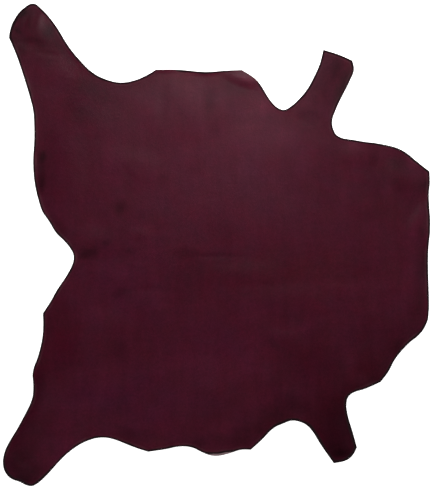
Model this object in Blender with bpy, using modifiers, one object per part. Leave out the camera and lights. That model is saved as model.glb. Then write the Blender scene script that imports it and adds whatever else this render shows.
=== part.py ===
"""A whole trimmed hide of buffalo calf leather, lying flat with its grain side up.

Metres, +Z up. The spine runs along X, with the tail root at -X and the neck at +X.
The hind legs are the two long lobes at -X and the forelegs the two short ones at +X.
The origin is the middle of the hide's own box, on the surface that it lies on.
"""

import math
from collections import namedtuple

import bmesh
import bpy

CM = 0.01
MM = 0.001

THICKNESS = 1.3 * MM  # one skived and finished hide, the same all over
CELL = 20 * MM  # mesh size of the sheet before it is trimmed
MARGIN = 30 * MM  # of the untrimmed sheet round the outline
BLADE_BELOW = 5 * MM  # the trimming shape reaches this far under the sheet
BLADE_ABOVE = 60 * MM
CURVE_STEPS = 3  # straight edges between two points of the outline
WELD = 0.001 * MM

LEATHER_COLOUR = (0.041, 0.0052, 0.0123, 1.0)
LEATHER_ROUGHNESS = 0.52

# The trimmed edge, clockwise seen from above, in centimetres. Each stretch starts at a
# corner that the knife left and is smooth up to the next stretch.
Stretch = namedtuple("Stretch", "name points")
OUTLINE = [
    Stretch(
        "far hind leg, round its foot and down the inner side",
        [
            (-61.6, 61.5), (-61.4, 63.2), (-59.9, 67.1), (-57.0, 70.4), (-54.3, 71.6),
            (-52.2, 70.2), (-48.2, 65.7), (-43.7, 58.6), (-40.5, 54.7), (-36.7, 51.1),
            (-33.0, 49.2), (-28.4, 48.2), (-24.1, 48.9), (-19.7, 50.9),
        ],
    ),
    Stretch("far belly", [(-18.0, 52.0), (-11.6, 52.0), (-3.5, 51.3), (2.7, 51.7)]),
    Stretch(
        "hollow in front of the far belly",
        [
            (7.5, 51.9), (11.9, 48.9), (14.2, 45.6), (16.7, 42.0), (18.7, 40.4),
            (20.2, 40.1), (21.8, 40.9), (24.3, 43.1), (26.8, 46.0), (28.8, 49.5),
            (30.7, 53.8),
        ],
    ),
    Stretch("far foreleg, cut end", [(31.7, 57.9), (36.4, 56.4)]),
    Stretch(
        "far foreleg to the shoulder",
        [
            (40.3, 54.7), (40.8, 52.1), (39.7, 49.0), (37.0, 43.6), (35.5, 40.4),
            (34.3, 36.6), (34.8, 34.0), (35.9, 32.4), (40.9, 31.1), (50.4, 29.6),
            (54.8, 28.2), (59.6, 24.6),
        ],
    ),
    Stretch(
        "neck cut",
        [(63.2, 21.8), (63.3, 18.4), (63.0, 15.4), (63.4, 4.4), (62.9, -0.9), (62.8, -13.4)],
    ),
    Stretch(
        "near cheek",
        [(62.8, -21.9), (61.6, -24.8), (59.7, -27.1), (57.2, -29.1), (53.0, -34.0), (51.0, -37.7)],
    ),
    Stretch(
        "near foreleg, front side",
        [
            (48.7, -40.7), (43.9, -42.8), (40.6, -43.9), (39.1, -45.2), (38.6, -47.4),
            (38.8, -49.7), (40.4, -55.4),
        ],
    ),
    Stretch("near foreleg, cut end", [(41.7, -60.1), (40.4, -62.5), (38.5, -64.0)]),
    Stretch(
        "near foreleg, back side, and the hollow behind it",
        [
            (34.8, -64.8), (33.0, -62.3), (30.5, -58.6), (28.3, -55.1), (26.7, -53.5),
            (24.9, -52.6), (22.5, -52.2), (19.7, -53.1), (17.0, -54.4), (13.5, -57.8),
        ],
    ),
    Stretch(
        "near belly",
        [
            (10.2, -60.8), (7.2, -60.8), (4.5, -61.6), (1.6, -62.4), (-0.2, -62.6),
            (-2.0, -62.4), (-4.5, -61.4), (-7.1, -60.2), (-10.2, -59.8), (-15.4, -60.7),
        ],
    ),
    Stretch(
        "near hind leg, inner side and round its foot",
        [
            (-20.3, -61.4), (-23.5, -60.4), (-26.9, -59.1), (-30.6, -57.7), (-33.6, -57.2),
            (-37.6, -57.9), (-43.4, -61.2), (-49.5, -67.3), (-53.0, -70.7), (-55.0, -71.6),
            (-58.6, -70.3), (-61.1, -69.3), (-62.8, -67.3), (-63.4, -64.6), (-63.1, -62.2),
        ],
    ),
    Stretch(
        "near hind leg, outer side",
        [(-62.3, -60.0), (-57.2, -51.0), (-54.7, -45.5), (-54.4, -42.5)],
    ),
    Stretch("near thigh", [(-54.6, -38.1), (-52.1, -29.8), (-51.5, -25.6)]),
    Stretch(
        "rump and tail root",
        [
            (-51.5, -20.3), (-49.5, -17.2), (-47.1, -13.0), (-44.6, -9.3), (-42.9, -6.1),
            (-42.4, -4.3), (-42.5, -2.8), (-43.4, -1.0), (-45.1, 1.1), (-47.5, 3.5),
            (-49.5, 6.7),
        ],
    ),
    Stretch(
        "far thigh and the outer side of the far hind leg",
        [
            (-51.6, 9.8), (-53.6, 16.4), (-54.4, 25.2), (-54.1, 30.8), (-54.1, 35.6),
            (-54.4, 39.8), (-55.3, 43.6), (-56.9, 49.0), (-59.7, 57.1),
        ],
    ),
]

# Where the hide doesn't lie quite flat: soft ridges, each with the middle of its crest, half
# its length along the crest and half its width across it in centimetres, the crest's
# direction in degrees from +X, and its height in millimetres.
Ridge = namedtuple("Ridge", "name x y half_length half_width direction height")
RIDGES = [
    Ridge("far hind foot, puffed up", -53.8, 63.6, 7.2, 5.2, -50, 3.6),
    Ridge("far hind leg, above the ankle", -50.0, 52.6, 10.0, 7.0, -8, 2.2),
    Ridge("far hind leg, along its middle", -43.0, 38.5, 21.0, 13.5, -56, 1.8),
    Ridge("near hind leg, along its middle", -46.8, -49.6, 20.0, 8.5, 61, 5.0),
    Ridge("far foreleg, along its middle", 34.0, 43.0, 11.6, 5.4, 76, 3.4),
    Ridge("near foreleg, along its middle", 34.8, -53.4, 9.4, 5.0, -68, 4.4),
    Ridge("far flank, behind the foreleg", 17.0, 27.5, 18.0, 14.0, -8, 3.8),
    Ridge("far belly, inside its edge", -8.5, 40.5, 17.0, 12.0, -3, 2.6),
    Ridge("far belly, edge turned up", 7.9, 49.2, 7.0, 2.6, -18, 2.6),
    Ridge("far thigh, inside its edge", -45.5, 21.0, 17.0, 8.5, 86, 4.0),
    Ridge("far loin", -24.5, 23.0, 12.5, 7.0, -14, 2.4),
    Ridge("tail root", -37.0, 1.2, 9.5, 5.5, -6, 3.4),
    Ridge("spine", 7.5, -8.8, 18.0, 5.0, 2, 3.0),
    Ridge("near shoulder", 23.0, -16.6, 18.0, 5.8, -2, 3.6),
    Ridge("near ribs, slanting fold", 21.8, -29.8, 10.0, 5.2, -28, 3.2),
    Ridge("neck, by its cut edge", 60.4, 6.8, 9.0, 4.0, 60, 4.2),
    Ridge("near side of the neck", 59.6, -11.5, 12.0, 5.0, 84, 4.4),
    Ridge("far cheek", 55.6, 20.0, 8.0, 5.6, -38, 4.8),
    Ridge("far side of the neck", 42.0, 27.2, 8.0, 5.2, -6, 2.8),
    Ridge("near cheek", 44.0, -36.0, 11.0, 8.0, 48, 5.0),
    Ridge("near belly, broad swell", -0.5, -44.0, 25.0, 13.0, 0, 5.8),
    Ridge("near belly, edge turned up", 2.0, -59.6, 10.0, 4.5, 0, 5.0),
    Ridge("near loin", -32.6, -25.0, 11.0, 7.0, -12, 4.4),
    Ridge("near thigh, inside its edge", -46.5, -29.0, 12.0, 7.0, 80, 4.0),
]


def clear_scene():
    for old in list(bpy.data.objects):
        bpy.data.objects.remove(old, do_unlink=True)


def new_collection(name):
    collection = bpy.data.collections.new(name)
    bpy.context.scene.collection.children.link(collection)
    return collection


def leather():
    material = bpy.data.materials.new("burgundy leather")
    material.use_nodes = True
    shader = material.node_tree.nodes["Principled BSDF"]
    shader.inputs["Base Color"].default_value = LEATHER_COLOUR
    shader.inputs["Roughness"].default_value = LEATHER_ROUGHNESS
    shader.inputs["Metallic"].default_value = 0.0
    return material


def rise(x, y):
    """How far the underside stands off the surface at a place, both in metres."""
    total = 0.0
    for ridge in RIDGES:
        turn = math.radians(ridge.direction)
        right = x - ridge.x * CM
        away = y - ridge.y * CM
        along = (right * math.cos(turn) + away * math.sin(turn)) / (ridge.half_length * CM)
        across = (away * math.cos(turn) - right * math.sin(turn)) / (ridge.half_width * CM)
        inside = 1.0 - along * along - across * across
        if inside > 0.0:
            total += ridge.height * MM * inside * inside
    return total


def trimming_shape(collection):
    """An upright block with the outline of the hide, centred on its own box."""
    curve = bpy.data.curves.new("outline", "CURVE")
    curve.dimensions = "2D"
    curve.fill_mode = "BOTH"
    curve.resolution_u = CURVE_STEPS
    curve.extrude = (BLADE_ABOVE + BLADE_BELOW) / 2
    line = curve.splines.new("BEZIER")
    line.bezier_points.add(sum(len(stretch.points) for stretch in OUTLINE) - 1)
    line.use_cyclic_u = True
    knots = iter(line.bezier_points)
    for stretch in OUTLINE:
        for number, (x, y) in enumerate(stretch.points):
            knot = next(knots)
            knot.co = (x * CM, y * CM, 0.0)
            kind = "AUTO" if number else "VECTOR"
            knot.handle_left_type = kind
            knot.handle_right_type = kind
    drawn = bpy.data.objects.new("outline", curve)
    collection.objects.link(drawn)
    bpy.context.view_layer.update()
    graph = bpy.context.evaluated_depsgraph_get()
    mesh = bpy.data.meshes.new_from_object(drawn.evaluated_get(graph))
    bpy.data.objects.remove(drawn, do_unlink=True)

    block = bmesh.new()
    block.from_mesh(mesh)
    bmesh.ops.remove_doubles(block, verts=block.verts, dist=WELD)
    bmesh.ops.recalc_face_normals(block, faces=block.faces)
    xs = [vert.co.x for vert in block.verts]
    ys = [vert.co.y for vert in block.verts]
    middle = (min(xs) + max(xs)) / 2, (min(ys) + max(ys)) / 2
    to_place = (-middle[0], -middle[1], (BLADE_ABOVE - BLADE_BELOW) / 2)
    bmesh.ops.translate(block, verts=block.verts, vec=to_place)
    block.to_mesh(mesh)
    block.free()
    cutter = bpy.data.objects.new("trimming shape", mesh)
    cutter.hide_render = True
    cutter.display_type = "WIRE"
    collection.objects.link(cutter)
    return cutter


def untrimmed_sheet(collection, cutter, material):
    """The sheet as it lies, larger than the hide: its lower face follows the ridges."""
    reach_x = max(abs(vert.co.x) for vert in cutter.data.vertices) + MARGIN
    reach_y = max(abs(vert.co.y) for vert in cutter.data.vertices) + MARGIN
    sheet = bmesh.new()
    bmesh.ops.create_grid(
        sheet,
        x_segments=round(2 * reach_x / CELL),
        y_segments=round(2 * reach_y / CELL),
        size=1.0,
    )
    bmesh.ops.scale(sheet, vec=(reach_x, reach_y, 1.0), verts=sheet.verts)
    for vert in sheet.verts:
        vert.co.z = rise(vert.co.x, vert.co.y)
    mesh = bpy.data.meshes.new("hide")
    sheet.to_mesh(mesh)
    sheet.free()
    mesh.materials.append(material)
    mesh.shade_smooth()
    hide = bpy.data.objects.new("hide", mesh)
    collection.objects.link(hide)
    return hide


def trimmed_hide(collection, cutters, material):
    cutter = trimming_shape(cutters)
    hide = untrimmed_sheet(collection, cutter, material)
    body = hide.modifiers.new("thickness", "SOLIDIFY")
    body.thickness = THICKNESS
    body.offset = 1.0
    trim = hide.modifiers.new("trim", "BOOLEAN")
    trim.operation = "INTERSECT"
    trim.solver = "EXACT"
    trim.object = cutter
    return hide


def main():
    clear_scene()
    parts = new_collection("calf leather hide")
    cutters = new_collection("cutters")
    trimmed_hide(parts, cutters, leather())


main()
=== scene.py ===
import math

import bmesh
import bpy
import numpy as np
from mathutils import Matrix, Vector, kdtree, noise


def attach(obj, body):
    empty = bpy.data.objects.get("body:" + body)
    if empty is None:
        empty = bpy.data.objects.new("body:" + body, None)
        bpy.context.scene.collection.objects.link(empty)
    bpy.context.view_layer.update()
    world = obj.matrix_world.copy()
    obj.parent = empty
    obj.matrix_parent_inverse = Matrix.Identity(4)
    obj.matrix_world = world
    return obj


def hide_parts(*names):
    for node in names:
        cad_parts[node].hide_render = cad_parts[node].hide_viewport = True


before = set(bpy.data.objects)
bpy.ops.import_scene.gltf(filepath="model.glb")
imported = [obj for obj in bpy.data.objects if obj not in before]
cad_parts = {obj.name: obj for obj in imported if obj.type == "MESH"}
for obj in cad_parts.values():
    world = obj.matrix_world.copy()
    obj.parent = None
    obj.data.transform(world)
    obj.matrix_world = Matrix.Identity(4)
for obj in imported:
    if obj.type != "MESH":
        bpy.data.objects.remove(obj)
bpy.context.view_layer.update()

# A whole trimmed calf hide in burgundy leather, lying flat with its grain side up.
# +X runs along the spine to the neck, +Y to the far side's legs. Lengths are in metres and
# angles in degrees, unless a note says otherwise.


def clearDefaults():
    for name in ("Cube", "Light", "Camera"):
        old = bpy.data.objects.get(name)
        if old is not None:
            bpy.data.objects.remove(old, do_unlink=True)


def place(obj):
    bpy.context.scene.collection.objects.link(obj)
    return obj


hideSheet = {
    "thickness": 0.0013,
    "flatSize": (1.268, 1.432),
    "cutArea": 1.20,
    "samePoint": 0.00002,  # points nearer than this are one
    "underside": -0.3,  # a face of the solid whose normal's z is less than this is on its underside
    "straightAngle": 0.6,  # a smaller turn of the trimmed edge is left out
    "cornerAngle": 24.0,  # a sharper turn is a knife's corner, and the others are rounded
    "curveSteps": 4,
    "shortStep": 0.0009,  # steps of the trimmed edge shorter than this are closed up
    "rings": (0.0012, 0.0024, 0.0030, 0.0040),  # widths of the rings of faces along the edge
    "cell": 0.0058,  # mesh size inside them
    "weld": 0.0014,  # points nearer than this inside the rings become one
    "tinyFace": 2e-8,  # square metres
    "folded": 0.5,  # a face whose normal's z is less than this is folded over
    "mendRounds": 8,  # of closing up tiny and folded faces
    "edgeStep": 0.0004,  # between the points that distances to the edge are measured from
    "cockleHeight": 0.0011,  # of the gentle unevenness all over
    "cockleSize": 0.075,
    "cockleSeed": 2.0,
    "puckerHeight": 0.00028,
    "puckerSize": 0.024,
    "puckerSeed": 7.0,
    "lipWidth": 0.016,  # the edge curls up a little, all round
    "lipHeight": 0.0022,
    "lipPatch": 0.09,  # the curl comes and goes at about this distance
    "lipSeed": 11.0,
    "lipShares": (0.55, 0.9, 1.3),  # its usual height, how far that varies, and its most
    "softRest": 0.0004,  # how softly a trough meets the surface that the hide lies on
    "edgeRound": 0.00035,
    "edgeRoundSteps": 2,
    "edgeRoundAngle": 55.0,
}


# The trimmed edge

def trimmedEdge(node, settings):
    # the knife's line, read from the border of the solid's underside
    solid = bmesh.new()
    solid.from_mesh(node.data)
    bmesh.ops.remove_doubles(solid, verts=solid.verts, dist=settings["samePoint"])
    bmesh.ops.dissolve_degenerate(solid, dist=settings["samePoint"], edges=solid.edges)
    solid.normal_update()
    nextTo = {}
    for edge in solid.edges:
        if sum(face.normal.z < settings["underside"] for face in edge.link_faces) == 1:
            one, other = edge.verts
            nextTo.setdefault(one.index, []).append(other.index)
            nextTo.setdefault(other.index, []).append(one.index)
    start = next(iter(nextTo))
    line = [start, nextTo[start][0]]
    while line[-1] != start:
        before, here = line[-2:]
        line.append(next(number for number in nextTo[here] if number != before))
    solid.verts.ensure_lookup_table()
    points = [Vector(solid.verts[number].co[:2]) for number in line[:-1]]
    solid.free()
    return points


def turns(points):
    # how sharply the line turns at each point
    found = []
    for number, here in enumerate(points):
        arriving = here - points[number - 1]
        leaving = points[(number + 1) % len(points)] - here
        found.append(abs(math.degrees(arriving.angle_signed(leaving))))
    return found


def knifeLine(node, settings):
    points = trimmedEdge(node, settings)
    points = [here for here, turn in zip(points, turns(points)) if turn > settings["straightAngle"]]
    corners = [turn > settings["cornerAngle"] for turn in turns(points)]
    curve = bpy.data.curves.new("knifeLine", "CURVE")
    curve.dimensions = "3D"
    curve.resolution_u = settings["curveSteps"]
    line = curve.splines.new("BEZIER")
    line.bezier_points.add(len(points) - 1)
    line.use_cyclic_u = True
    for knot, here, corner in zip(line.bezier_points, points, corners):
        knot.co = (here.x, here.y, 0.0)
        knot.handle_left_type = knot.handle_right_type = "VECTOR" if corner else "AUTO"
    drawn = place(bpy.data.objects.new("knifeLine", curve))
    bpy.context.view_layer.update()
    graph = bpy.context.evaluated_depsgraph_get()
    mesh = bpy.data.meshes.new_from_object(drawn.evaluated_get(graph))
    bpy.data.objects.remove(drawn, do_unlink=True)
    steps = len(mesh.vertices)
    print("trimmed edge:", len(points), "points,", sum(corners), "corners,", steps, "steps")
    return mesh


# The flat sheet

def cutAcross(sheet, faces, axis, settings):
    # cuts these flat faces into strips one cell wide, each cut on what is left beyond the last
    low = min(vert.co[axis] for face in faces for vert in face.verts)
    high = max(vert.co[axis] for face in faces for vert in face.verts)
    steps = round((high - low) / settings["cell"])
    across = Vector((1, 0, 0)) if axis == 0 else Vector((0, 1, 0))
    strips = []
    left = list(faces)
    for step in range(1, steps):
        at = low + (high - low) * step / steps
        crossed = [face for face in left if min(vert.co[axis] for vert in face.verts) < at]
        strips += [face for face in crossed if max(vert.co[axis] for vert in face.verts) <= at]
        crossed = [face for face in crossed if max(vert.co[axis] for vert in face.verts) > at]
        beyond = [face for face in left if min(vert.co[axis] for vert in face.verts) >= at]
        geom = dict.fromkeys(crossed)  # keeps its order, so that each run gives the same mesh
        for face in crossed:
            geom.update(dict.fromkeys(face.edges))
            geom.update(dict.fromkeys(face.verts))
        near = settings["samePoint"]
        cut = bmesh.ops.bisect_plane(
            sheet, geom=list(geom), dist=near, plane_co=across * at, plane_no=across
        )
        pieces = [item for item in cut["geom"] if isinstance(item, bmesh.types.BMFace)]
        for face in dict.fromkeys(pieces):
            if face.calc_center_bounds()[axis] > at:
                beyond.append(face)
            else:
                strips.append(face)
        left = beyond
    return strips + left


def flatSheet(outline, settings):
    sheet = bmesh.new()
    sheet.from_mesh(outline)
    bmesh.ops.remove_doubles(sheet, verts=sheet.verts, dist=settings["shortStep"])
    bmesh.ops.contextual_create(sheet, geom=sheet.edges[:])
    if sheet.faces[:][0].normal.z < 0:
        bmesh.ops.reverse_faces(sheet, faces=sheet.faces[:])
    inner = sheet.faces[:]
    for width in settings["rings"]:
        bmesh.ops.inset_region(
            sheet, faces=inner, thickness=width, use_boundary=True, use_even_offset=False
        )
    middle = max(sheet.faces, key=lambda face: face.calc_area())
    strips = cutAcross(sheet, [middle], 0, settings)
    cells = cutAcross(sheet, strips, 1, settings)
    inside = dict.fromkeys(vert for face in cells for vert in face.verts)
    bmesh.ops.remove_doubles(sheet, verts=list(inside), dist=settings["weld"])
    for _ in range(settings["mendRounds"]):
        poor = [
            face for face in sheet.faces
            if face.normal.z < settings["folded"] or face.calc_area() < settings["tinyFace"]
        ]
        shortest = [min(face.edges, key=lambda edge: edge.calc_length()) for face in poor]
        bmesh.ops.collapse(sheet, edges=list(dict.fromkeys(shortest)))
        sheet.normal_update()
    loose = [vert for vert in sheet.verts if not vert.link_faces]
    bmesh.ops.delete(sheet, geom=loose, context="VERTS")
    print("flat sheet:", len(sheet.faces), "faces,", len(poor), "mended in the last round")
    return sheet


# The hide's relief and dye

# Soft ridges and troughs: middle of the crest, half length and half width in centimetres,
# direction in degrees from +X, height in millimetres and, for a few, how far the ends bend off
# the crest's line in centimetres. The first group is the solid's own.
ridges = {
    "far hind foot, puffed up": (-53.8, 63.6, 7.2, 5.2, -50, 3.6),
    "far hind leg, above the ankle": (-50.0, 52.6, 10.0, 7.0, -8, 2.2),
    "far hind leg, along its middle": (-43.0, 38.5, 21.0, 13.5, -56, 1.8),
    "near hind leg, along its middle": (-46.8, -49.6, 20.0, 8.5, 61, 5.0),
    "far foreleg, along its middle": (34.0, 43.0, 11.6, 5.4, 76, 3.4),
    "near foreleg, along its middle": (34.8, -53.4, 9.4, 5.0, -68, 4.4),
    "far flank, behind the foreleg": (17.0, 27.5, 18.0, 14.0, -8, 3.8),
    "far belly, inside its edge": (-8.5, 40.5, 17.0, 12.0, -3, 2.6),
    "far belly, edge turned up": (7.9, 49.2, 7.0, 2.6, -18, 2.6),
    "far thigh, inside its edge": (-45.5, 21.0, 17.0, 8.5, 86, 4.0),
    "far loin": (-24.5, 23.0, 12.5, 7.0, -14, 2.4),
    "tail root": (-37.0, 1.2, 9.5, 5.5, -6, 3.4),
    "spine": (7.5, -8.8, 18.0, 5.0, 2, 3.0),
    "near shoulder": (23.0, -16.6, 18.0, 5.8, -2, 3.6),
    "near ribs, slanting fold": (21.8, -29.8, 10.0, 5.2, -28, 3.2),
    "neck, by its cut edge": (60.4, 6.8, 9.0, 4.0, 60, 4.2),
    "near side of the neck": (59.6, -11.5, 12.0, 5.0, 84, 4.4),
    "far cheek": (55.6, 20.0, 8.0, 5.6, -38, 4.8),
    "far side of the neck": (42.0, 27.2, 8.0, 5.2, -6, 2.8),
    "near cheek": (44.0, -36.0, 11.0, 8.0, 48, 5.0),
    "near belly, broad swell": (-0.5, -44.0, 25.0, 13.0, 0, 5.8),
    "near belly, edge turned up": (2.0, -59.6, 10.0, 4.5, 0, 5.0),
    "near loin": (-32.6, -25.0, 11.0, 7.0, -12, 4.4),
    "near thigh, inside its edge": (-46.5, -29.0, 12.0, 7.0, 80, 4.0),
}

# Lesser creases, in the same order of numbers
creases = {
    "ankle crease": (-54.8, 59.6, 5.6, 1.9, -4, -1.8, 0.6),
    "foot, pinched skin": (-56.6, 66.2, 3.2, 1.1, 64, -1.3),
    "foot, bright fold": (-52.6, 66.6, 5.0, 1.8, 76, 1.2),
    "ankle, second crease": (-50.0, 56.6, 5.0, 1.2, -8, -0.8, 0.4),
    "spine crease": (1.0, -3.3, 10.0, 1.2, 1, -1.7),
    "spine crease, towards the tail": (-27.0, -4.2, 9.5, 1.4, -4, -0.9, 0.5),
    "loin, slanting crease": (-25.8, 20.6, 5.5, 1.9, -50, -0.9),
    "loin, fine line": (-22.0, -13.4, 9.5, 1.4, 0, -1.2),
    "behind the withers": (9.5, -12.0, 12.0, 1.6, 4, -1.0, 0.4),
    "shoulder hollow": (21.0, -23.6, 7.5, 3.4, -2, -2.0),
    "rib crease": (17.6, -28.6, 7.0, 1.5, -34, -1.2, 0.3),
    "neck hollow": (40.0, -9.2, 10.0, 4.0, 0, -2.0),
    "neck streak": (59.4, 8.4, 8.0, 2.4, 62, 0.7),
    "far foreleg, foot fold": (36.2, 56.6, 3.6, 1.3, -24, 1.3),
    "far foreleg, long crease": (32.6, 49.0, 7.0, 1.1, 76, -1.0),
    "near hind foot": (-57.5, -64.0, 5.0, 2.0, -32, 1.5),
    "far belly, long crease": (-16.0, 43.0, 9.0, 2.6, 86, -0.9),
    "far belly, second crease": (-2.4, 40.5, 11.0, 3.4, 88, -1.3),
    "near belly, left of the middle": (-17.0, -56.6, 6.5, 3.2, 4, 2.6),
    "near flank": (-28.6, -45.8, 8.0, 3.0, 70, -1.8),
    "behind the far foreleg": (27.4, 37.4, 4.5, 2.6, -10, -2.0),
    "loin, small fold": (-23.0, 3.0, 4.5, 2.4, -8, 1.2),
    "near shoulder, fine line": (36.0, -12.6, 12.0, 1.3, 2, 0.6),
    "near ribs, fine line": (-4.0, -29.2, 12.0, 1.6, -3, 0.9, 0.4),
    "neck, fine line": (50.0, -13.2, 8.0, 1.1, 1, 0.5),
}

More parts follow.
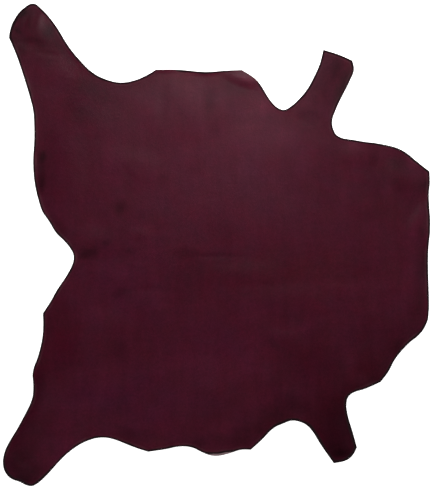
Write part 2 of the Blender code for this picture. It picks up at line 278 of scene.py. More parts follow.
# Where the colour is deeper or lighter: place, half length, half width and direction as above, then
# how much lighter (or, below 0, darker) the middle of the patch is. Most are dye; the rows marked
# below are painted shade in folds and on slopes turned from the lamps, and one painted highlight.
dyeAndPaintedLightPatches = {
    "neck, dark streak": (46.8, 26.0, 4.0, 2.2, 88, -0.22),
    "neck, pale between the bands": (37.9, 15.1, 5.0, 2.4, 88, 0.18),
    "spine, small pale spot": (-16.8, -17.9, 3.8, 2.4, 0, 0.18),
    "near belly, narrow pale spot": (-18.0, -49.6, 3.6, 3.0, 0, 0.20),
    "tail root, second mark": (-32.8, 0.5, 2.4, 1.7, 20, -0.30),
    "far loin, dark": (-15.0, 19.8, 5.0, 3.4, 80, -0.18),
    "shoulder, small dark spot": (44.8, 8.8, 4.0, 3.2, 0, -0.16),
    "near thigh, second pale": (-41.0, -38.8, 8.0, 4.4, 0, 0.16),
    "middle of the back": (-2.0, 16.0, 40.0, 32.0, 0, 0.20),
    "near hind quarter": (-50.0, -42.0, 34.0, 15.0, 72, -0.16),
    "neck, far side": (52.0, 17.5, 13.0, 11.0, 0, -0.16),
    "shoulder, near side": (27.5, -31.0, 12.0, 10.0, 0, -0.16),
    "far thigh, edge": (-49.6, 23.0, 17.0, 5.0, 86, -0.13),
    "near loin, dark": (-29.0, -31.8, 6.5, 6.0, 0, -0.18),
    "near flank, before the foreleg": (22.2, -47.6, 8.0, 4.5, -10, -0.29),
    "near belly, edge": (9.6, -56.0, 9.0, 4.5, 0, -0.20),
    "near belly, left edge": (-24.0, -57.0, 9.0, 3.0, 0, -0.17),
    "foreleg root, inside": (27.5, 37.0, 7.0, 6.0, 0, -0.22),
    "neck, dark by the cut": (60.8, -6.6, 14.0, 2.4, 88, -0.25),
    "near foreleg, foot": (35.4, -60.6, 5.0, 3.6, 0, -0.16),
    "near foreleg, knee": (36.2, -54.4, 5.0, 4.0, 0, 0.07),
    "far hind leg, above": (-43.0, 41.8, 4.5, 4.0, 0, -0.17),
    "near ribs, pale": (9.0, -32.0, 10.0, 9.0, 0, 0.14),
    "near side, pale": (36.4, -41.6, 8.0, 7.0, 0, 0.09),
    "behind the withers, pale": (10.8, -19.4, 6.0, 5.5, 0, 0.17),
    "near thigh, pale": (-39.4, -48.4, 7.0, 4.5, 20, 0.18),
    "near ribs, pale streak": (-16.8, -35.4, 7.0, 4.0, 88, 0.13),
    "near hind leg, pale edge": (-43.8, -58.8, 6.0, 3.5, 38, 0.18),
    "spine, left of the middle": (-5.4, -8.0, 9.0, 7.0, 88, -0.17),
    "loin, by the spine": (-29.2, -15.0, 3.0, 2.4, 0, -0.24),
    "back, small dark spot": (-25.4, -1.6, 4.0, 2.0, 0, -0.22),
    "neck, near streak": (44.6, -24.6, 9.0, 3.6, 84, -0.10),
    "back, far hind part": (-32.2, 25.2, 8.0, 8.0, 0, 0.22),
    "far belly, behind its middle": (-20.3, 39.2, 9.0, 6.0, 88, 0.24),
    "withers, far side": (23.6, 0.0, 9.5, 8.0, 0, 0.10),
    "far flank, pale": (26.3, 23.7, 7.5, 5.0, 86, 0.20),
    "back, far side": (8.2, 20.8, 7.0, 3.5, 88, 0.15),
    "neck, far side, pale": (50.6, 16.9, 5.0, 2.8, 88, 0.22),
    "loin, far side": (-36.1, 5.3, 5.0, 4.0, 0, 0.18),
    "near belly, small pale spot": (14.4, -38.4, 3.8, 3.2, 0, 0.20),
    "near cheek, small pale spot": (42.3, -39.5, 3.6, 2.8, 0, 0.24),
    "far belly, small pale spot": (14.4, 40.9, 4.2, 3.2, 0, 0.40),
    "back, across the middle": (1.9, 4.1, 9.0, 7.5, 0, -0.20),
    "near hind foot": (-58.6, -66.6, 11.0, 8.0, -20, -0.42),
    "near thigh, dark": (-46.8, -20.5, 11.0, 5.5, 88, -0.12),
    "spine, towards the tail": (-9.7, -2.4, 6.0, 3.0, 0, -0.31),
    "far belly, under the pale edge": (6.4, 37.4, 7.0, 3.2, 0, -0.14),
    "near belly, middle of the edge": (-0.7, -57.7, 7.5, 2.6, 0, -0.10),
    "far cheek, by the cut": (59.5, 16.9, 4.6, 2.8, 88, -0.16),
    "far cheek, dark": (53.9, 24.3, 4.0, 3.2, 0, -0.30),
    "near belly, towards the foreleg": (14.0, -53.6, 4.6, 4.0, 0, -0.24),
    # darker towards the lower legs, most of all at the near foreleg and the near neck corner
    "near foreleg": (37.0, -59.0, 19.0, 15.0, -68, -0.35),
    "near neck corner": (52.0, -41.0, 40.0, 24.0, 50, -0.33),
    "near side of the shoulder": (36.0, -44.0, 24.0, 16.0, 0, -0.15),
    "near hind leg, outer side": (-61.6, -55.0, 24.0, 7.5, 64, -0.37),
    "near thigh, edge": (-52.4, -41.6, 9.0, 2.4, 88, -0.15),
    "far foreleg": (34.0, 50.0, 15.0, 8.0, 78, -0.28),
    # painted shade on the far foreleg's outer side, where the fold turns down away from the lamps
    "far foreleg, outer side": (38.6, 45.6, 13.0, 4.4, 70, -0.60),
    # painted shade: the far hind foot's side turned away from the key lamp
    "far hind foot": (-57.0, 64.0, 10.0, 6.0, 46, -0.16),
    # painted shade in the folds across the far hind foot, on this row and the next two
    "far hind foot, first fold": (-57.8, 68.3, 3.4, 0.9, 42, -0.66),
    "far hind foot, second fold": (-59.4, 63.8, 3.2, 1.0, -34, -0.30),
    "far hind foot, third fold": (-55.3, 66.4, 4.2, 0.8, 82, -0.18),
    "far hind foot, pale line": (-57.0, 65.4, 3.0, 0.9, 76, 0.18),
    # painted shade in the ankle crease, on this row and the next
    "ankle, dark fold": (-56.2, 61.0, 5.5, 1.5, -3, -0.20),
    "ankle, end of the fold": (-52.2, 60.0, 2.8, 1.7, -36, -0.10),
    "far hind leg, inner edge": (-44.5, 56.5, 9.0, 1.8, -50, -0.22),
    "far hind leg, knee": (-36.0, 46.0, 9.0, 5.0, -30, -0.30),
    "far belly": (9.0, 38.0, 36.0, 20.0, 0, 0.22),
    "far belly, pale spot": (-9.4, 46.2, 5.0, 5.5, 0, 0.17),
    "far belly, second band": (-2.0, 43.0, 8.0, 2.8, 88, -0.28),
    "far belly, third band": (-0.4, 33.8, 4.5, 3.0, 80, -0.32),
    "far belly, below its edge": (7.0, 46.2, 8.0, 3.4, -15, -0.33),
    "far flank": (16.0, 32.0, 12.0, 7.0, 0, 0.12),
    "thigh edge, first mark": (-51.7, 26.2, 2.8, 2.0, 80, -0.56),
    "thigh edge, second mark": (-52.0, 18.6, 5.0, 2.0, 84, -0.52),
    "thigh": (-39.4, 38.6, 6.0, 5.0, 0, -0.23),
    "thigh, second": (-40.4, 46.4, 4.5, 3.5, 0, -0.10),
    "rump edge": (-46.6, 5.0, 7.0, 2.6, -55, -0.23),
    "tail root": (-37.9, -2.0, 4.4, 3.2, 0, -0.33),
    "tail, pale": (-28.4, -8.0, 4.5, 3.4, 10, 0.24),
    "loin, dark": (-28.6, 11.2, 3.8, 3.0, 80, -0.45),
    "loin, pale": (-21.6, 5.2, 5.5, 3.0, -8, 0.18),
    "spine": (0.4, -3.0, 11.0, 1.1, 0, -0.21),
    "spine, behind": (-12.4, -8.0, 7.0, 7.0, 0, -0.11),
    "spine, pale": (-18.3, -15.0, 8.5, 2.4, 0, 0.18),
    "spine, before the pale": (-27.6, -13.6, 4.0, 2.0, -10, -0.25),
    "shoulder, pale band": (36.0, -12.6, 22.0, 3.6, 0, 0.14),
    "shoulder, pale arc": (24.3, -25.0, 7.0, 2.4, 6, 0.16),
    "rib": (17.4, -29.6, 8.0, 2.0, -33, -0.13),
    "near ribs": (-0.5, -36.0, 23.0, 8.0, -4, 0.16),
    "near loin, pale": (-33.6, -20.0, 6.0, 3.6, -12, 0.11),
    "rump, pale": (-33.0, -39.6, 9.5, 5.0, 64, 0.12),
    "near flank": (-28.4, -46.5, 7.5, 4.0, 72, -0.16),
    "near flank, edge": (-27.2, -55.2, 5.0, 2.6, -15, -0.18),
    "near belly, first pale spot": (-16.8, -54.0, 7.0, 3.0, -8, 0.16),
    "near belly, second pale spot": (2.4, -54.2, 6.5, 3.6, 0, 0.16),
    "near belly edge": (17.5, -50.8, 7.5, 4.0, -24, -0.36),
    "foreleg root": (26.4, 39.0, 5.0, 3.0, -6, -0.15),
    "near foreleg, root": (28.4, -46.1, 7.0, 2.4, -72, 0.09),
    "near cheek, pale": (39.8, -35.8, 7.5, 3.0, 84, 0.28),
    "neck, second band": (44.8, 21.6, 6.0, 2.8, 86, -0.14),
    "neck, pale spot": (41.1, 30.0, 4.0, 3.0, -8, 0.39),
    "neck, pale streak": (58.9, 5.4, 9.0, 2.4, 66, 0.19),
    "neck, pale edge": (56.2, -12.0, 9.5, 2.6, 86, 0.14),
    "neck edge": (62.2, -6.0, 6.5, 2.0, 88, -0.26),
    "far cheek, pale": (58.6, 24.2, 4.5, 2.8, -40, 0.30),
    "far cheek, edge": (62.8, 18.0, 4.0, 2.0, 80, -0.36),
    "near hind leg, middle": (-44.8, -44.6, 8.0, 5.0, 60, 0.10),
    "near thigh, edge, lower": (-49.9, -25.6, 7.0, 2.0, 86, -0.23),
    "loin, by the tail": (-34.6, -7.0, 4.0, 2.6, 0, 0.20),
    "back, near the loin": (-29.6, 19.2, 3.4, 2.6, 0, 0.23),
    "neck, near pale spot": (53.6, -20.8, 5.0, 3.0, 0, 0.14),
    "near neck corner, edge": (53.6, -30.2, 4.0, 2.6, 50, -0.20),
    "far hind foot, whole": (-52.0, 60.0, 11.0, 9.0, -30, -0.30),
    "near hind foot, inner side": (-55.0, -58.0, 12.0, 5.0, 62, -0.20),
    "near hind leg, outer mark": (-45.6, -52.6, 9.0, 4.0, 66, 0.16),
    "near belly, long pale": (-1.0, -41.4, 8.0, 3.2, 0, 0.14),
    "tail root, below": (-37.6, -2.6, 4.6, 3.4, 0, -0.18),
    "near belly, right edge": (6.4, -58.6, 7.0, 2.6, 0, -0.16),
    "near neck, dark rim": (60.2, -17.6, 6.8, 2.4, 86, -0.20),
    "neck, dark rim": (60.8, 4.4, 5.4, 2.2, 88, -0.24),
    "neck, upper dark rim": (61.2, 17.4, 5.0, 2.0, 88, -0.24),
    "far foreleg, dark line": (35.8, 52.8, 5.0, 2.4, 80, -0.25),
    "near belly, left dark edge": (-5.2, -58.8, 3.8, 2.8, 0, -0.26),
    "far belly, pale rim": (-9.0, 50.0, 6.0, 1.8, 0, 0.28),
    "near hind foot, tip": (-53.4, -66.4, 7.5, 3.0, 12, -0.11),
    # painted shade on the far hind foot's outer side, turned away from the key lamp, and in its
    # inner fold
    "far hind foot, outer rim": (-58.6, 64.0, 10.0, 2.6, 62, -0.28),
    "far hind foot, inner fold": (-49.4, 64.0, 4.4, 2.6, 62, -0.38),
    "far thigh, edge mark": (-52.0, 23.2, 3.2, 2.0, 86, -0.27),
    "tail root, pale middle": (-37.6, -0.7, 1.6, 1.2, 0, 0.20),
    "near hind foot, sole": (-57.0, -69.6, 5.0, 1.6, -6, -0.30),
    "near hind foot, pale middle": (-56.6, -65.6, 4.0, 2.4, 0, 0.15),
    "far hind foot, ankle side": (-58.4, 57.8, 5.0, 3.0, 80, -0.26),
    # painted highlight on the turned-up edge of the far belly
    "far belly, bright rim": (8.6, 49.4, 3.4, 1.4, -14, 0.36),
    "far hind foot, toe": (-55.4, 69.0, 5.0, 2.2, -10, -0.16),
    "far hind foot, pale side": (-58.0, 62.4, 5.0, 3.0, 84, 0.16),
    "near hind foot, pale rim": (-61.2, -61.6, 4.8, 2.0, 80, 0.18),
    "near foreleg, pale edge": (39.4, -58.6, 3.6, 1.6, -72, 0.12),
    "tail root, lower rim": (-39.8, -3.4, 2.4, 1.6, 10, -0.24),
    "near foreleg, sole": (37.0, -62.0, 5.0, 2.0, 4, -0.26),
}

# Where the colour is dustier or (below 0) richer, and where it leans to purple or (below 0) to
# red: places as above, then how much
dustyPatches = {
    "back, middle": (12.9, 19.3, 24.0, 18.0, -10, 0.60),
    "back, behind the middle": (-14.0, 11.0, 20.0, 16.0, 0, 0.26),
    "far belly, along its edge": (-10.0, 52.0, 34.0, 9.0, 0, -0.66),
    "far hind foot": (-56.0, 62.0, 16.0, 10.0, -50, -0.42),
    "far hind leg, inner edge": (-42.0, 50.0, 18.0, 7.0, -50, -0.42),
    # richer colour for the painted shade on the far foreleg's outer side
    "far foreleg, outer side": (40.0, 51.0, 14.0, 5.0, 74, -0.90),
    "far foreleg, inner side": (30.0, 50.0, 10.0, 4.0, 70, 0.70),
    "foreleg root": (28.0, 37.0, 9.0, 7.0, 0, -0.24),
    "near hind leg, outer edge": (-60.0, -46.0, 28.0, 8.0, 66, -0.76),
    "near thigh, outer edge": (-47.0, -28.0, 18.0, 9.0, 88, -0.54),
    "near belly, middle": (-4.0, -44.0, 24.0, 12.0, 0, 0.16),
    "near side of the shoulder": (28.0, -34.0, 10.0, 9.0, 0, -0.30),
    "near foreleg, inner side": (30.0, -60.0, 9.0, 6.0, -68, -0.34),
    "back, towards the neck": (26.0, 9.0, 14.0, 10.0, 0, 0.12),
    "far thigh": (-46.0, 34.0, 20.0, 10.0, -70, -0.20),
    "near thigh, inner side": (-36.0, -50.0, 16.0, 9.0, 0, 0.14),
    "near foreleg, outer side": (39.0, -56.0, 9.0, 5.0, -72, 0.40),
    "far belly, middle of its edge": (-1.0, 50.0, 9.0, 6.0, 0, -0.30),
    "far hind leg": (-42.0, 53.0, 9.0, 5.0, -40, -0.20),
}
purplePatches = {
    "near quarter": (-26.0, -46.0, 36.0, 15.0, -4, 0.17),
    "near hind leg": (-48.0, -60.0, 18.0, 9.0, 58, 0.08),
    "loin": (-28.0, -12.0, 22.0, 20.0, 0, 0.13),
    "near ribs": (0.0, -30.0, 22.0, 13.0, 0, 0.11),
    "near neck corner": (44.0, -42.0, 20.0, 12.0, 30, -0.12),
    "near foreleg": (32.0, -58.0, 16.0, 12.0, -68, -0.08),
    "shoulder": (26.0, -8.0, 34.0, 11.0, 0, -0.12),
    "neck, far side": (50.0, 10.0, 16.0, 12.0, 0, -0.05),
}

# Where the grain is rougher or (below 0) glazed smoother: places as above, then the difference
# in roughness
glazePatches = {
    "far foreleg": (34.6, 48.0, 22.0, 13.0, 76, 0.36),
    "far hind leg": (-42.0, 45.0, 22.0, 9.0, -54, -0.07),
    "far thigh": (-50.0, 20.0, 30.0, 11.0, 88, -0.06),
    "near hind leg, outer side": (-60.0, -52.0, 26.0, 9.0, 64, -0.09),
    "near foreleg": (36.0, -55.0, 20.0, 14.0, -68, -0.10),
    "near neck corner": (50.0, -36.0, 22.0, 16.0, 50, -0.04),
    "far hind foot": (-55.0, 64.0, 14.0, 10.0, -40, 0.08),
    "far foreleg, outer side": (39.0, 46.0, 15.0, 5.0, 70, -0.34),
}

# Where a pale grey band lies along the cut edge, with how far: 1 is the full width of the band.
# Below 0 the dark dye moves off the edge and the painted highlight of the curled-up lip reaches it.
edgeGreyAndHighlight = {
    "near belly": (1.2, -62.3, 5.2, 3.0, 0, 1.5),
    # painted highlight: on these two rows the dark dye moves off the edge and the paler highlight
    # band lies on it
    "far belly, turned up, painted highlight on the edge": (8.6, 50.8, 6.5, 3.0, -18, -1.6),
    "far belly, straight edge, painted highlight on the edge": (-15.2, 51.6, 4.6, 2.4, 0, -1.3),
}
edgeShift = 0.0075  # metres

# Where the edge lies flat, has no painted highlight along it, and the dark dye reaches further in:
# how much
heavyEdge = {
    "near foreleg": (34.0, -57.0, 26.0, 18.0, -68, 1.3),
    "near flank, by the foreleg": (19.0, -53.0, 14.0, 8.0, -20, 0.9),
    "near neck corner": (54.0, -38.0, 16.0, 9.0, 50, 0.7),
    "far hind foot, outer side": (-60.5, 65.0, 10.0, 6.0, 55, 1.0),
    "near hind foot": (-58.0, -68.0, 12.0, 9.0, 0, 0.9),
}
heavyWidth = 0.003  # metres


def patchSum(x, y, rows):
    # the sum of all the soft patches of a table at each point
    total = np.zeros_like(x)
    for middleX, middleY, halfLength, halfWidth, direction, height, *bend in rows.values():
        turn = math.radians(direction)
        right = x - middleX / 100
        away = y - middleY / 100
        along = (right * math.cos(turn) + away * math.sin(turn)) / (halfLength / 100)
        across = away * math.cos(turn) - right * math.sin(turn) - sum(bend) / 100 * along**2
        inside = np.clip(1 - along**2 - (across / (halfWidth / 100)) ** 2, 0, None)
        total += height * inside**2
    return total


def unevenness(x, y, size, seed):
    return np.array([noise.noise(Vector((a / size, b / size, seed))) for a, b in zip(x, y)])


def edgeDistances(places, outline, spacing):
    # how far each point is from the trimmed edge
    line = []
    for edge in outline.edges:
        start, end = (outline.vertices[number].co for number in edge.vertices)
        count = max(1, math.ceil((end - start).length / spacing))
        line += [start.lerp(end, step / count) for step in range(count)]
    tree = kdtree.KDTree(len(line))
    for number, point in enumerate(line):
        tree.insert(point, number)
    tree.balance()
    return np.array([tree.find((a, b, 0.0))[2] for a, b in places])


def relief(x, y, toEdge, heavy, settings):
    # how high the hide's underside stands above the surface at each point
    rise = (patchSum(x, y, ridges) + patchSum(x, y, creases)) / 1000
    cockle = unevenness(x, y, settings["cockleSize"], settings["cockleSeed"]) * 0.5 + 0.5
    pucker = unevenness(x, y, settings["puckerSize"], settings["puckerSeed"]) * 0.5 + 0.5
    rise += settings["cockleHeight"] * cockle + settings["puckerHeight"] * pucker
    usual, varies, most = settings["lipShares"]
    comesAndGoes = unevenness(x, y, settings["lipPatch"], settings["lipSeed"])
    comesAndGoes = np.clip(usual + varies * comesAndGoes, 0, most)
    curl = np.clip(1 - toEdge / settings["lipWidth"], 0, 1) ** 2 * (1 - heavy)
    rise += settings["lipHeight"] * curl * comesAndGoes
    return 0.5 * (rise + np.sqrt(rise**2 + settings["softRest"] ** 2))  # no trough goes below it


def hide(settings):
    outline = knifeLine(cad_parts["hide"], settings)
    sheet = flatSheet(outline, settings)
    mesh = bpy.data.meshes.new("calfHide")
    sheet.to_mesh(mesh)
    sheet.free()

    count = len(mesh.vertices)
    places = np.empty(count * 3)
    mesh.vertices.foreach_get("co", places)
    places = places.reshape(-1, 3)
    x, y = places[:, 0], places[:, 1]
    toEdge = edgeDistances(places[:, :2], outline, settings["edgeStep"])
    heavy = np.clip(patchSum(x, y, heavyEdge), 0, 1)
    places[:, 2] = relief(x, y, toEdge, heavy, settings) + settings["thickness"]
    mesh.vertices.foreach_set("co", places.ravel())

    surface = {
        "dyeAndPaintedLight": patchSum(x, y, dyeAndPaintedLightPatches),
        "dust": patchSum(x, y, dustyPatches),
        "purple": patchSum(x, y, purplePatches),
        "glaze": patchSum(x, y, glazePatches),
        # made smaller where the pale grey band shows, and larger where the painted highlight is
        # moved onto the edge
        "toEdge": toEdge - edgeShift * np.clip(patchSum(x, y, edgeGreyAndHighlight), -1, 1),
        "heavy": heavy,
    }
    for name, values in surface.items():
        mesh.attributes.new(name, "FLOAT", "POINT").data.foreach_set("value", values)
    mesh.shade_smooth()
    mesh.update()

    piece = place(bpy.data.objects.new("calfHide", mesh))
    body = piece.modifiers.new("thickness", "SOLIDIFY")
    body.thickness = settings["thickness"]
    body.offset = -1.0
    body.material_offset = 1  # the second finish is the flesh side's
    body.material_offset_rim = 2  # and the third is the cut edge's
    rounded = piece.modifiers.new("rounded edge", "BEVEL")
    rounded.width = settings["edgeRound"]
    rounded.segments = settings["edgeRoundSteps"]
    rounded.limit_method = "ANGLE"
    rounded.angle_limit = math.radians(settings["edgeRoundAngle"])
    print("hide sheet:", count, "points, rises to", round(float(places[:, 2].max()), 4))
    return piece


# The finishes

def newFinish(name):
    material = bpy.data.materials.new(name)
    material.use_nodes = True
    tree = material.node_tree
    shader = tree.nodes["Principled BSDF"]
    return material, tree, shader


def addNode(tree, kind, links=None, **values):
    # a node with its settings, its sockets' values and what they are linked from
    node = tree.nodes.new(kind)
    for name, value in values.items():
        if hasattr(node, name):
            setattr(node, name, value)
        else:
            node.inputs[name.replace("_", " ")].default_value = value
    for socket, source in (links or {}).items():
        tree.links.new(source, node.inputs[socket])
    return node


def fillSockets(tree, sockets, values):
    # each socket gets a plain number, a colour or a link
    for socket, value in zip(sockets, values):
        if isinstance(value, (int, float)):
            socket.default_value = value
        elif isinstance(value, tuple):
            socket.default_value = (*value, 1)
        else:
            tree.links.new(value, socket)


def objectPlace(tree, scale=(1, 1, 1), turn=0.0):
    where = addNode(tree, "ShaderNodeTexCoord")
    mapping = addNode(tree, "ShaderNodeMapping", {"Vector": where.outputs["Object"]})
    mapping.inputs["Scale"].default_value = scale
    mapping.inputs["Rotation"].default_value = (0, 0, math.radians(turn))
    return mapping.outputs["Vector"]


def noisePattern(tree, place, size, detail=3.0, rough=0.55, distortion=0.0):
    node = addNode(tree, "ShaderNodeTexNoise", {"Vector": place}, Scale=1 / size, Detail=detail)
    node.inputs["Roughness"].default_value = rough
    node.inputs["Distortion"].default_value = distortion
    return node.outputs["Fac"]


def between(tree, source, low, high, toLow=0.0, toHigh=1.0):
    node = addNode(tree, "ShaderNodeMapRange", {"Value": source})
    sockets = [node.inputs[name] for name in ("From Min", "From Max", "To Min", "To Max")]
    fillSockets(tree, sockets, (low, high, toLow, toHigh))
    return node.outputs["Result"]


def combine(tree, operation, *values):
    node = addNode(tree, "ShaderNodeMath", operation=operation)
    fillSockets(tree, node.inputs, values)
    return node.outputs["Value"]


def mixColours(tree, share, one, other, blend="MIX"):
    node = addNode(tree, "ShaderNodeMix", data_type="RGBA", blend_type=blend)
    # sockets 6 and 7 take the two colours, and output 2 is their mix
    fillSockets(tree, (node.inputs["Factor"], node.inputs[6], node.inputs[7]), (share, one, other))
    return node.outputs[2]


def bumps(tree, height, depth, strength=1.0, under=None):
    node = addNode(tree, "ShaderNodeBump", {"Height": height}, Distance=depth, Strength=strength)
    if under is not None:
        tree.links.new(under, node.inputs["Normal"])
    return node.outputs["Normal"]


def surfaceValue(tree, name):
    return addNode(tree, "ShaderNodeAttribute", attribute_name=name).outputs["Fac"]


burgundyGrain = {
    "colour": (0.0452, 0.0045, 0.0125),
    "deepColour": (0.0326, 0.0029, 0.0088),
    "clouds": {"size": 0.15, "detail": 4.0, "rough": 0.5},  # of the dye, broad
    "blotches": {"size": 0.060, "detail": 4.0, "rough": 0.6, "distortion": 0.4},
    "streaks": {"size": 0.024},  # brush marks across and along the hide, this wide
    "streakStretch": 6.0,  # and this many times longer
    "streakTurns": (2.0, 1.0),
    "shares": (0.26, 0.30, 0.27, 0.17),  # of the clouds, blotches and both ways of brushing
    "dyeRange": (0.38, 0.62),
    "redColour": (1.03, 0.91, 0.90),  # the dye leans to red in places and to purple in others
    "purpleColour": (0.98, 1.06, 1.07),
    "hues": {"size": 0.070, "detail": 4.0, "rough": 0.6},
    "hueRange": (0.34, 0.66),
    "dustBlue": 0.42,  # how much of a dusty patch goes to blue; all of it goes to green
    "flecks": {"size": 0.0060, "detail": 2.0, "rough": 0.7},
    "fleckRange": (0.25, 0.75),
    "fleckDepth": 0.20,
    # painted highlight on the curled-up lip: a paler band just inside the dark edge, in places
    "lipHighlightColour": (0.070, 0.030, 0.036),
    "lipHighlightBand": (0.0048, 0.0074, 0.0120),  # where it starts, is strongest and ends
    "lipHighlightPlaces": {"size": 0.060},
    "lipHighlightRange": (0.42, 0.62),
    "lipHighlightShare": 0.30,
    "edgeColour": (0.0072, 0.0014, 0.0026),
    "edgeBand": (0.0032, 0.0068),  # dark dye along the cut fades out between these distances
    "edgeWander": 0.0040,  # which come and go by about half of this
    "edgePlaces": {"size": 0.040, "detail": 4.0},
    "edgeRange": (0.3, 0.7),
    "greyEdgeColour": (0.160, 0.105, 0.112),  # a pale grey band along the edge, where the edge table sets it
    "greyEdgeBand": (-0.0022, -0.0006),
    "wrinkles": {"size": 0.011, "detail": 4.0, "rough": 0.6, "distortion": 1.2},
    "wrinkleDepth": 0.00068,
    "pebbleSize": 0.0022,
    "pebbleDepth": 0.00010,
    "pebbleStrength": 0.8,
    "shine": 0.10,
    "glazeRange": (0.3, 0.7),
    "roughness": (0.38, 0.48),
    "edgeRoughness": 0.50,  # added along the dark edge
}


def grainFinish(settings):
    material, tree, shader = newFinish("burgundyGrain")
    plain = objectPlace(tree)
    stretched = 1 / settings["streakStretch"]
    acrossTurn, alongTurn = settings["streakTurns"]
    across = objectPlace(tree, (1, stretched, 1), acrossTurn)
    alongside = objectPlace(tree, (stretched, 1, 1), alongTurn)

    # the colour: dye clouds, blotches, brush marks, a lean to red or purple, patches of dye with
    # some painted shade and one painted highlight among them, and tiny flecks
    blotches = noisePattern(tree, plain, **settings["blotches"])
    patterns = [noisePattern(tree, plain, **settings["clouds"]), blotches]
    patterns += [noisePattern(tree, way, **settings["streaks"]) for way in (across, alongside)]
    depth = 0.0
    for pattern, amount in zip(patterns, settings["shares"]):
        depth = combine(tree, "ADD", depth, combine(tree, "MULTIPLY", pattern, amount))
    share = between(tree, depth, *settings["dyeRange"])
    colour = mixColours(tree, share, settings["colour"], settings["deepColour"])
    hue = between(tree, noisePattern(tree, plain, **settings["hues"]), *settings["hueRange"])
    lean = mixColours(tree, hue, settings["redColour"], settings["purpleColour"])
    colour = mixColours(tree, 1.0, colour, lean, "MULTIPLY")
    dust = surfaceValue(tree, "dust")
    green = combine(tree, "ADD", dust, 1.0)
    blue = combine(tree, "ADD", surfaceValue(tree, "purple"), 1.0)
    blue = combine(tree, "MULTIPLY_ADD", dust, settings["dustBlue"], blue)
    cast = addNode(tree, "ShaderNodeCombineColor", {"Green": green, "Blue": blue}, Red=1.0)
    colour = mixColours(tree, 1.0, colour, cast.outputs["Color"], "MULTIPLY")
    fleck = noisePattern(tree, plain, **settings["flecks"])
    paler, darker = 1 + settings["fleckDepth"], 1 - settings["fleckDepth"]
    fleck = between(tree, fleck, *settings["fleckRange"], darker, paler)
    patches = combine(tree, "ADD", surfaceValue(tree, "dyeAndPaintedLight"), 1.0)
    strength = combine(tree, "MULTIPLY", patches, fleck)
    colour = mixColours(tree, 1.0, colour, strength, "MULTIPLY")

    # along the cut the dye is nearly black, and just inside it, in places, a paler band is a
    # painted highlight on the curled-up lip
    toEdge = surfaceValue(tree, "toEdge")
    heavy = surfaceValue(tree, "heavy")
    near, middle, far = settings["lipHighlightBand"]
    rising, falling = between(tree, toEdge, near, middle), between(tree, toEdge, far, middle)
    highlightSpots = noisePattern(tree, plain, **settings["lipHighlightPlaces"])
    highlightSpots = between(tree, highlightSpots, *settings["lipHighlightRange"], 0.0, settings["lipHighlightShare"])
    lipHighlight = combine(tree, "MULTIPLY", combine(tree, "MINIMUM", rising, falling), highlightSpots)
    lipHighlight = combine(tree, "MULTIPLY", lipHighlight, combine(tree, "SUBTRACT", 1.0, heavy))
    colour = mixColours(tree, lipHighlight, colour, settings["lipHighlightColour"])
    wander = noisePattern(tree, plain, **settings["edgePlaces"])
    wander = between(tree, wander, *settings["edgeRange"], -0.5, 0.5)
    line = combine(tree, "MULTIPLY_ADD", wander, settings["edgeWander"], toEdge)
    line = combine(tree, "SUBTRACT", line, combine(tree, "MULTIPLY", heavy, heavyWidth))
    dark = between(tree, line, *settings["edgeBand"], 1.0, 0.0)
    colour = mixColours(tree, dark, colour, settings["edgeColour"])
    # a pale grey band along the edge where the edge table is above 0
    greyEdge = between(tree, toEdge, *settings["greyEdgeBand"], 1.0, 0.0)
    colour = mixColours(tree, greyEdge, colour, settings["greyEdgeColour"])
    tree.links.new(colour, shader.inputs["Base Color"])

    # the grain: round pebbles with pores between them, over fine wrinkles
    wrinkles = noisePattern(tree, plain, **settings["wrinkles"])
    wrinkles = combine(tree, "ABSOLUTE", combine(tree, "SUBTRACT", wrinkles, 0.5))
    normal = bumps(tree, wrinkles, settings["wrinkleDepth"])
    pebbleScale = 1 / settings["pebbleSize"]
    pebbles = addNode(tree, "ShaderNodeTexVoronoi", {"Vector": plain}, Scale=pebbleScale)
    pebbles = combine(tree, "SUBTRACT", 1.0, pebbles.outputs["Distance"])
    normal = bumps(tree, pebbles, settings["pebbleDepth"], settings["pebbleStrength"], normal)
    tree.links.new(normal, shader.inputs["Normal"])
    roughness = between(tree, blotches, *settings["glazeRange"], *settings["roughness"])
    roughness = combine(tree, "ADD", roughness, surfaceValue(tree, "glaze"))
    roughness = combine(tree, "MULTIPLY_ADD", dark, settings["edgeRoughness"], roughness)
    tree.links.new(roughness, shader.inputs["Roughness"])
    shader.inputs["Specular IOR Level"].default_value = settings["shine"]
    return material


fleshSuede = {
    "colour": (0.150, 0.078, 0.088),
    "deepColour": (0.085, 0.034, 0.044),
    "clouds": {"size": 0.09, "detail": 5.0, "rough": 0.6},
    "cloudShare": 0.6,
    "nap": {"size": 0.0014, "detail": 3.0, "rough": 0.7, "distortion": 0.6},
    "napShare": 0.4,
    "napStretch": 3.0,
    "napTurn": 30.0,
    "napDepth": 0.00035,
    "colourRange": (0.35, 0.65),
    "roughness": 0.95,
    "shine": 0.15,
    "fuzz": 0.25,
}


def fleshFinish(settings):
    material, tree, shader = newFinish("fleshSuede")
    combed = objectPlace(tree, (1, 1 / settings["napStretch"], 1), settings["napTurn"])
    clouds = noisePattern(tree, objectPlace(tree), **settings["clouds"])
    nap = noisePattern(tree, combed, **settings["nap"])
    share = combine(tree, "MULTIPLY", nap, settings["napShare"])
    share = combine(tree, "MULTIPLY_ADD", clouds, settings["cloudShare"], share)
    share = between(tree, share, *settings["colourRange"])
    colour = mixColours(tree, share, settings["colour"], settings["deepColour"])
    tree.links.new(colour, shader.inputs["Base Color"])
    tree.links.new(bumps(tree, nap, settings["napDepth"]), shader.inputs["Normal"])
    shader.inputs["Roughness"].default_value = settings["roughness"]
    shader.inputs["Specular IOR Level"].default_value = settings["shine"]
    shader.inputs["Sheen Weight"].default_value = settings["fuzz"]
    return material


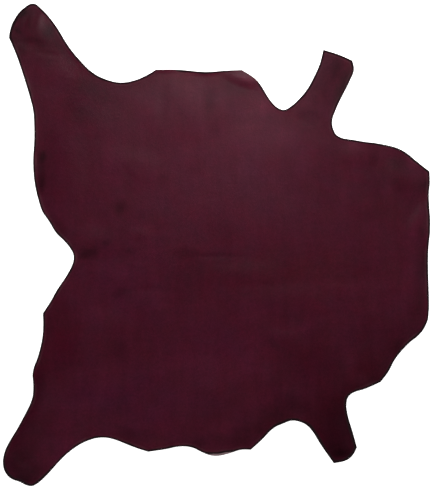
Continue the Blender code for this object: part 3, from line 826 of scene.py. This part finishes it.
cutEdge = {
    "colour": (0.012, 0.0022, 0.0042),
    "rawColour": (0.050, 0.022, 0.026),
    "fibres": {"size": 0.0007, "detail": 3.0, "rough": 0.7},
    "rawRange": (0.45, 0.75),
    "fibreDepth": 0.0001,
    "roughness": 0.85,
}


def cutEdgeFinish(settings):
    material, tree, shader = newFinish("cutEdge")
    fibres = noisePattern(tree, objectPlace(tree), **settings["fibres"])
    raw = between(tree, fibres, *settings["rawRange"])
    colour = mixColours(tree, raw, settings["colour"], settings["rawColour"])
    tree.links.new(colour, shader.inputs["Base Color"])
    tree.links.new(bumps(tree, fibres, settings["fibreDepth"]), shader.inputs["Normal"])
    shader.inputs["Roughness"].default_value = settings["roughness"]
    return material


# The studio

studio = {
    "floorSize": 60.0,
    "floorLevel": -0.0006,
    "floorColour": (0.86, 0.86, 0.86),
    "floorRoughness": 0.9,
    "floorGlow": 0.80,
    # each lamp: place, what it points at, width and height, power in watts
    "lamps": {
        "key": ((0.03, 1.20, 1.40), (0.05, 0.25, 0.0), (0.60, 0.40), 29.0),
        "leftFill": ((-2.4, -0.2, 1.0), (0.0, 0.0, 0.0), (1.6, 0.9), 35.0),
        "rightFill": ((2.4, 0.1, 1.0), (0.0, 0.0, 0.0), (1.6, 0.9), 44.0),
        "lowFill": ((-0.4, -2.6, 0.9), (0.0, 0.0, 0.0), (1.6, 0.9), 40.0),
    },
    "worldLight": 0.012,
}


def floor(settings):
    level = (0, 0, settings["floorLevel"])
    bpy.ops.mesh.primitive_plane_add(size=settings["floorSize"], location=level)
    plane = bpy.context.object
    plane.name = "floor"
    material, _, shader = newFinish("paleFloor")
    shader.inputs["Base Color"].default_value = (*settings["floorColour"], 1)
    shader.inputs["Roughness"].default_value = settings["floorRoughness"]
    shader.inputs["Specular IOR Level"].default_value = 0.0
    shader.inputs["Emission Color"].default_value = (1, 1, 1, 1)
    shader.inputs["Emission Strength"].default_value = settings["floorGlow"]
    plane.data.materials.append(material)


def softLight(name, at, aim, size, power):
    lamp = bpy.data.lights.new(name, "AREA")
    lamp.shape = "RECTANGLE"
    lamp.size, lamp.size_y = size
    lamp.energy = power
    obj = place(bpy.data.objects.new(name, lamp))
    obj.location = at
    obj.rotation_euler = (Vector(aim) - Vector(at)).to_track_quat("-Z", "Y").to_euler()


def studioLight(settings):
    for name, lamp in settings["lamps"].items():
        softLight(name, *lamp)
    world = bpy.data.worlds.new("studio")
    world.use_nodes = True
    background = world.node_tree.nodes["Background"]
    background.inputs["Color"].default_value = (1, 1, 1, 1)
    background.inputs["Strength"].default_value = settings["worldLight"]
    bpy.context.scene.world = world
    bpy.context.scene.view_settings.view_transform = "Standard"
    print("studio:", len(settings["lamps"]), "lamps")


cameraSet = {
    "lens": 85.0,  # millimetres, and so is the sensor
    "sensor": 36.0,
    "frameSize": (432, 488),  # the photograph's pixels
    "pixel": 0.00297,  # what one of them covers
    "centre": (216.5, 244.85),  # the hide's middle there
    "farClip": 50.0,
}


def overheadCamera(settings):
    # straight above, with the photograph's up as +Y
    data = bpy.data.cameras.new("overhead")
    data.lens = settings["lens"]
    data.sensor_width = settings["sensor"]
    data.clip_end = settings["farClip"]
    wide, high = settings["frameSize"]
    distance = high * settings["pixel"] * settings["lens"] / settings["sensor"]
    overX = (wide / 2 - settings["centre"][0]) * settings["pixel"]
    overY = (settings["centre"][1] - high / 2) * settings["pixel"]
    obj = place(bpy.data.objects.new("overhead", data))
    obj.location = (overX, overY, distance)
    bpy.context.scene.camera = obj


def main():
    clearDefaults()
    overheadCamera(cameraSet)
    calfHide = hide(hideSheet)
    for finish in (grainFinish(burgundyGrain), fleshFinish(fleshSuede), cutEdgeFinish(cutEdge)):
        calfHide.data.materials.append(finish)
    print("finishes:", ", ".join(finish.name for finish in calfHide.data.materials))
    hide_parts("hide")
    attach(calfHide, "root")
    floor(studio)
    studioLight(studio)
    print("pieces ready")


main()
